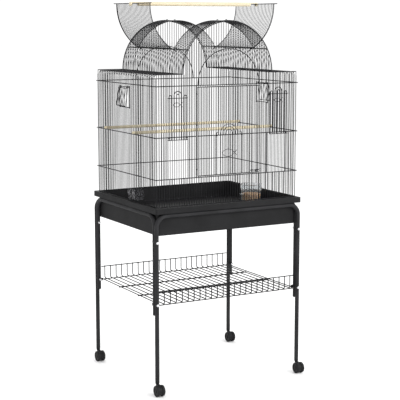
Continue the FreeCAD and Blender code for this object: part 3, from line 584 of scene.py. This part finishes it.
def caster(corner):
    low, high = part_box("caster_wheels_" + corner)
    axle = (low + high) / 2
    radius, half = (high.z - low.z) / 2, (high.x - low.x) / 2
    one_wheel = solids_of("caster_wheels_" + corner)[0]
    width = float(np.ptp(one_wheel[:, 0]))
    wheels = Build()
    for side in (-1, 1):
        inner = axle + Vector((side * (half - width), 0, 0))
        profile = [
            (0.0026, 0), (radius - 0.0045, 0), (radius - 0.0015, 0.0006), (radius - 0.0003, 0.0018),
            (radius, 0.0034), (radius, width - 0.0036), (radius - 0.0006, width - 0.0018),
            (radius - 0.0021, width - 0.0006), (radius - 0.0038, width - 0.0001),
            (radius - 0.0052, width - 0.0004), (radius - 0.0060, width - 0.0022),
            (radius - 0.0075, width - 0.0026), (0.0085, width - 0.0016), (0.0078, width - 0.0024),
            (0.0070, width - 0.0024), (0.0062, width - 0.0006), (0.0050, width), (0.0026, width),
        ]
        wheels.turned(profile, inner, (side, 0, 0), 56)
    replaced = ["caster_wheels_" + corner]
    wheels.make("caster_wheels_%s_turned" % corner, BLACK, "wheels_" + corner, replaced)

    a_low, a_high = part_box("caster_axle_" + corner)
    reach = a_high.x - axle.x
    pin = Build().turned(
        [
            (0, -reach), (0.0019, -reach), (0.0025, -reach + 0.0006), (0.0025, reach - 0.0006),
            (0.0019, reach), (0, reach),
        ],
        axle, (1, 0, 0), 28,
    )
    pin.make("caster_axle_%s_pin" % corner, STEEL, "wheels_" + corner, ["caster_axle_" + corner])

    low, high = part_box("caster_body_" + corner)
    stem_low, stem_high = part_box("caster_stem_" + corner)
    stem = (stem_low + stem_high) / 2
    block_half = half - width - 0.0004
    disc = radius - 0.003
    outline = arc((0, axle.y, axle.z), disc, (0, 1, 0), (0, 0, 1), 92, 350, 30)
    outline += [
        Vector((0, stem.y + 0.0036, 0.0245)), Vector((0, stem.y + 0.0040, 0.0262)),
        Vector((0, stem.y + 0.0040, 0.0424)), Vector((0, stem.y + 0.0030, 0.0436)),
        Vector((0, axle.y + 0.0050, 0.0436)), Vector((0, axle.y + 0.0020, 0.0425)),
    ]
    middle = Vector((0, axle.y, axle.z))
    rings = []
    edge = block_half - 0.0006
    for x, shrink in ((-block_half, 0.965), (-edge, 1), (edge, 1), (block_half, 0.965)):
        rings.append([middle + (p - middle) * shrink + Vector((stem.x + x, 0, 0)) for p in outline])
    body = Build().loops(rings)
    neck = Vector((stem.x, stem.y, high.z))
    profile = [
        (0.0042, -0.0037), (0.0062, -0.0037), (0.0070, -0.0030), (0.0070, -0.0007),
        (0.0064, 0), (0.0042, 0),
    ]
    body.turned(profile, neck, (0, 0, 1), 32)
    body.make("caster_fork_" + corner, BLACK, "swivel_" + corner, ["caster_body_" + corner])
    shaft = Build().turned(
        [
            (0, stem_low.z), (0.004, stem_low.z), (0.004, stem_high.z - 0.001),
            (0.003, stem_high.z), (0, stem_high.z),
        ],
        (stem.x, stem.y, 0), (0, 0, 1), 28,
    )
    shaft.make("caster_stem_%s_shaft" % corner, STEEL, "swivel_" + corner, ["caster_stem_" + corner])


for corner in CORNERS:
    caster(corner)

# ------------------------------------------------------------------ tub

tub_low, tub_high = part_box("base_tub")
RIM_X, RIM_Y = tub_high.x, (tub_high.y - tub_low.y) / 2
RIM_CORNER, RIM_DROP, WALL = 0.006, 0.0204, 0.003
TUB_X, TUB_Y, TUB_CORNER = 0.2985, 0.2565, 0.010
TUB_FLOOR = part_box("seed_cup")[0].z - 0.0002


def tub_loop(kind, inset, z):
    """A loop of the tub, inset from the outside of its rim or of its wall."""
    outlines = {"rim": (RIM_X, RIM_Y, RIM_CORNER), "wall": (TUB_X, TUB_Y, TUB_CORNER)}
    half_x, half_y, corner = outlines[kind]
    corner = max(corner - inset, 0.002)
    return rounded_rectangle(half_x - inset, half_y - inset, corner, z, (0, MIDDLE_Y))


top, skirt = tub_high.z, tub_low.z
rim_foot = top - RIM_DROP
# Floor, inner wall, top of the rim, its turned-down edge, outer wall, skirt and underside, in turn
chain = [
    ("wall", 0.040, TUB_FLOOR), ("wall", 0.0105, TUB_FLOOR), ("wall", 0.0075, TUB_FLOOR + 0.0003),
    ("wall", 0.0048, TUB_FLOOR + 0.0016), ("wall", 0.0034, TUB_FLOOR + 0.0042),
    ("wall", WALL, TUB_FLOOR + 0.008), ("wall", WALL, top - 0.0022),
    ("wall", WALL - 0.0002, top - 0.0010), ("wall", WALL - 0.0010, top - 0.0002),
    ("wall", WALL - 0.0022, top),
    ("rim", 0.0030, top), ("rim", 0.0022, top), ("rim", 0.0010, top - 0.0003),
    ("rim", 0.0003, top - 0.0010), ("rim", 0, top - 0.0022), ("rim", 0, top - 0.0032),
    ("rim", 0, rim_foot + 0.0014), ("rim", 0, rim_foot + 0.0006), ("rim", 0.0005, rim_foot),
    ("rim", 0.0023, rim_foot), ("rim", 0.0028, rim_foot + 0.0005), ("rim", 0.0028, rim_foot + 0.0015),
    ("rim", WALL, top - WALL - 0.001), ("rim", WALL + 0.001, top - WALL),
    ("wall", -0.0012, top - WALL), ("wall", 0, top - WALL - 0.0012), ("wall", 0, top - WALL - 0.003),
    ("wall", 0, skirt + 0.0016), ("wall", 0, skirt + 0.0006), ("wall", 0.0006, skirt),
    ("wall", 0.0024, skirt), ("wall", WALL, skirt + 0.0006), ("wall", WALL, skirt + 0.002),
    ("wall", WALL, TUB_FLOOR - WALL - 0.004), ("wall", 0.0042, TUB_FLOOR - WALL - 0.001),
    ("wall", 0.0072, TUB_FLOOR - WALL), ("wall", 0.040, TUB_FLOOR - WALL),
]
tub = Build().loops([tub_loop(*step) for step in chain])
tub.make("base_tub_moulded", TUB, "tub", ["base_tub"], 60)

# ------------------------------------------------------------------ perches


def clipped(r, x, y, z, keep, sides=32):
    """A round section of a dowel with part cut away.

    keep moves a point (dy, dz) back inside what is left.
    """
    ring = []
    for k in range(sides):
        t = math.tau * k / sides
        dy, dz = keep(r * math.cos(t), r * math.sin(t))
        ring.append(Vector((x, y + dy, z + dz)))
    return ring


def whole(dy, dz):
    return dy, dz


def dowel(made, x0, x1, y, z, r, keep=whole):
    """A length of dowel with softened ends."""
    steps = [(x0, 0.93), (x0 + 0.0006, 1.0)]
    count = 14
    steps += [(x0 + (x1 - x0) * k / count, 1.0) for k in range(1, count)]
    steps += [(x1 - 0.0006, 1.0), (x1, 0.93)]
    made.loops([clipped(r * s, x, y, z, keep) for x, s in steps])


def wall_perch(name, body):
    low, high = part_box(name)
    r = (high.y - low.y) / 2
    y, z = (low.y + high.y) / 2, low.z + r
    shoulder = high.x - 0.0130
    cut = 0.003 - r
    made = Build()
    dowel(made, -shoulder, shoulder, y, z, r)
    for sx in (-1, 1):
        for side in (-1, 1):
            def prong(dy, dz, side=side):
                return (max(dy, 0.0015) if side > 0 else min(dy, -0.0015)), max(dz, cut + 0.0002)
            ends = sorted((sx * (shoulder - 0.0002), sx * high.x))
            dowel(made, ends[0], ends[1], y, z, r, prong)
    made.make(name + "_dowel", WOOD, body, [name])


wall_perch("front_perch", "perch_front")
wall_perch("back_perch", "perch_back")

low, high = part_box("top_perch")
perch_r = (high.z - low.z) / 2
perch_z, perch_y = (low.z + high.z) / 2, (low.y + high.y) / 2
notch = [
    p for p in solids_of("top_perch")[0]
    if abs(p[0]) < high.x - 0.001 and abs(p[2] - perch_z) < 0.004
]
notch_in = min(abs(p[0]) for p in notch)
notch_out = max(abs(p[0]) for p in notch)
notch_z = max(p[2] for p in notch) - perch_z


def above_notch(dy, dz):
    return dy, max(dz, notch_z)


top_perch = Build()
dowel(top_perch, -notch_in, notch_in, perch_y, perch_z, perch_r)
for sx in (-1, 1):
    bridge = sorted((sx * (notch_in - 0.0005), sx * (notch_out + 0.0005)))
    tip = sorted((sx * notch_out, sx * high.x))
    dowel(top_perch, *bridge, perch_y, perch_z, perch_r * 0.998, above_notch)
    dowel(top_perch, *tip, perch_y, perch_z, perch_r)
top_perch.make("top_perch_dowel", WOOD, "perch_top", ["top_perch"])

# ------------------------------------------------------------------ cups and seed

cup_low, cup_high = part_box("seed_cup")
seed_low, seed_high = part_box("seed_fill")
cup_at = Vector(((seed_low.x + seed_high.x) / 2, (seed_low.y + seed_high.y) / 2, cup_low.z))
cup_h = cup_high.z - cup_low.z
cup_r = cup_high.x - cup_at.x
seed_top = seed_high.z - cup_at.z
profile = [
    (0, 0), (cup_r - 0.0065, 0), (cup_r - 0.0052, 0.0010), (cup_r - 0.0048, 0.0024),
    (cup_r - 0.0012, cup_h - 0.0042), (cup_r - 0.0003, cup_h - 0.0032), (cup_r, cup_h - 0.0022),
    (cup_r - 0.0001, cup_h - 0.0007), (cup_r - 0.0008, cup_h), (cup_r - 0.0022, cup_h),
    (cup_r - 0.0029, cup_h - 0.0008), (cup_r - 0.0031, cup_h - 0.0030),
    (cup_r - 0.0068, 0.0040), (cup_r - 0.0080, 0.0024), (cup_r - 0.0100, 0.0020), (0, 0.0020),
]
cup = Build().turned(profile, cup_at, (0, 0, 1), 72)
tab_z = cup_at.z + 0.046
tab = [
    rounded_rectangle(0.0060 - inset, 0.0050 - inset, 0.002, z, (cup_low.x + 0.0060, cup_at.y - 0.011))
    for z, inset in ((tab_z, 0.0004), (tab_z + 0.0004, 0), (tab_z + 0.0021, 0), (tab_z + 0.0025, 0.0004))
]
cup.loops(tab)
cup.make("seed_cup_clear", CLEAR, "seeds", ["seed_cup"])

heap = Build()
heap_r = seed_high.x - cup_at.x
low_r = cup_r - 0.0072
foot = seed_low.z - cup_at.z
rings = [(0, foot + 0.0002), (low_r - 0.001, foot + 0.0002), (low_r, foot + 0.0012)]
rings += [(heap_r - 0.0002, seed_top - 0.0062), (heap_r - 0.0012, seed_top - 0.0052)]
rings += [
    (heap_r * (1 - k / 7), seed_top - 0.0048 + 0.0034 * math.sin(math.pi / 2 * k / 7))
    for k in range(1, 8)
]
heap.turned(rings, cup_at, (0, 0, 1), 56)
draw = random.Random(4)
for _ in range(520):
    reach = (heap_r - 0.003) * math.sqrt(draw.random())
    turn = draw.uniform(0, math.tau)
    share = 1 - reach / heap_r
    z = seed_top - 0.0048 + 0.0034 * math.sin(math.pi / 2 * share)
    place = cup_at + Vector((reach * math.cos(turn), reach * math.sin(turn), min(z, seed_top - 0.0012)))
    way = Vector((draw.uniform(-1, 1), draw.uniform(-1, 1), draw.uniform(-0.3, 0.3))).normalized()
    long, thick = draw.uniform(0.0016, 0.0026), draw.uniform(0.0007, 0.0010)
    grain = [(0, -long), (0.7 * thick, -0.6 * long), (thick, 0), (0.7 * thick, 0.6 * long), (0, long)]
    heap.turned(grain, place, way, 6)
heap.make("seed_heap", SEED, "seeds", ["seed_fill"])

low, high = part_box("water_cup")
clip_depth, thick = 0.0064, 0.0018
left = low.x + clip_depth
centre = ((left + high.x) / 2, (low.y + high.y) / 2)
half = ((high.x - left) / 2, (high.y - low.y) / 2)
rim = low.z + 0.038
steps = [
    (0.016, low.z), (0.0030, low.z), (0.0010, low.z + 0.0006), (0.0004, low.z + 0.0022),
    (0.0, low.z + 0.006), (0.0, rim - 0.0012), (0.0002, rim - 0.0003), (0.0008, rim),
    (0.0013, rim - 0.0003), (thick, rim - 0.0014), (thick, low.z + 0.007),
    (thick + 0.0006, low.z + 0.0034), (thick + 0.0024, low.z + thick), (0.017, low.z + thick),
]
water_cup = Build().loops([
    rounded_rectangle(half[0] - d, half[1] - d, max(0.007 - d, 0.0015), z, centre)
    for d, z in steps
])
buttons = [p for p in solids_of("water_cup")[0] if p[0] < low.x + 0.0001]
for end in (min(p[1] for p in buttons) + 0.007, max(p[1] for p in buttons) - 0.007):
    z = low.z + 0.027
    head = [
        rounded_rectangle(0.0070 - inset, 0.0060 - inset, 0.002, 0)
        for inset in (0.0004, 0.0, 0.0, 0.0004)
    ]
    xs = (low.x, low.x + 0.0004, low.x + 0.0016, low.x + 0.0020)
    water_cup.loops([[Vector((x, end + p.x, z + p.y)) for p in ring] for x, ring in zip(xs, head)])
    neck = rounded_rectangle(0.0025, 0.0050, 0.001, 0)
    neck_xs = (low.x + 0.0020, left + 0.0002)
    water_cup.loops([[Vector((x, end + p.x, z + p.y)) for p in neck] for x in neck_xs])
water_cup.make("water_cup_smoke", SMOKE, "water", ["water_cup"])

# ------------------------------------------------------------------ latch

latch = Build()
for points in solids_of("door_latch"):
    run = straight(points)
    if run:
        latch.tube([run[0], run[1]], run[2], 16)
    else:
        low, high = corners_of(points)
        r, length = (high[0] - low[0]) / 2, high[1] - low[1]
        place = ((low[0] + high[0]) / 2, high[1], (low[2] + high[2]) / 2)
        profile = [
            (0, 0), (0.6 * r, 0), (0.9 * r, 0.1 * length), (r, 0.25 * length), (r, 0.7 * length),
            (0.85 * r, 0.93 * length), (0.6 * r, length), (0, length),
        ]
        latch.turned(profile, place, (0, -1, 0), 28)
latch.make("door_latch_bolt", WIRE, "latch", ["door_latch"])

# ------------------------------------------------------------------ floor, light, camera

floor = Build()
lowest = CAD_BOX[0][2]
floor.loops([
    rounded_rectangle(60.0, 60.0, 0.5, lowest - 0.02),
    rounded_rectangle(60.0, 60.0, 0.5, lowest - 0.0005),
])
mesh = bpy.data.meshes.new("floor")
mesh.from_pydata([tuple(v) for v in floor.verts], [], floor.faces)
paper = Nodes("floor_paper")
tone = paper.ramp(paper.noise(3.0, 2.0), ((0.3, (0.93, 0.93, 0.93)), (0.7, (0.95, 0.95, 0.95))))
paper.link(tone, paper.shader.inputs["Base Color"])
paper.set("Roughness", 0.9)
mesh.materials.append(paper.material)
ground = bpy.data.objects.new("floor", mesh)
bpy.context.scene.collection.objects.link(ground)


def area_light(name, place, aim, size, power):
    lamp = bpy.data.lights.new(name, "AREA")
    lamp.shape = "DISK"
    lamp.size = size
    lamp.energy = power
    obj = bpy.data.objects.new(name, lamp)
    obj.location = place
    obj.rotation_euler = (Vector(aim) - Vector(place)).to_track_quat("-Z", "Y").to_euler()
    bpy.context.scene.collection.objects.link(obj)


MIDDLE = (0, 0, 0.8)
area_light("key", (0.9, -4.4, 3.4), MIDDLE, 2.4, 100)
area_light("fill", (3.2, -2.8, 2.2), MIDDLE, 2.6, 60)
area_light("back", (0.5, 3.5, 3.2), MIDDLE, 2.4, 50)

world = bpy.data.worlds.new("studio")
world.use_nodes = True
background = world.node_tree.nodes["Background"]
background.inputs["Color"].default_value = (1, 1, 1, 1)
background.inputs["Strength"].default_value = 1.08
bpy.context.scene.world = world
bpy.context.scene.view_settings.view_transform = "Standard"

camera = bpy.data.cameras.new("camera")
camera.lens = LENS_MM
camera.sensor_width = 36.0
camera.clip_end = 200
eye = bpy.data.objects.new("camera", camera)
eye.location = (CAMERA_PLACE[0], CAMERA_PLACE[1] + MIDDLE_Y, CAMERA_PLACE[2])
eye.rotation_euler = (math.radians(90 + CAMERA_PITCH), 0, math.radians(CAMERA_YAW))
bpy.context.scene.collection.objects.link(eye)
bpy.context.scene.camera = eye
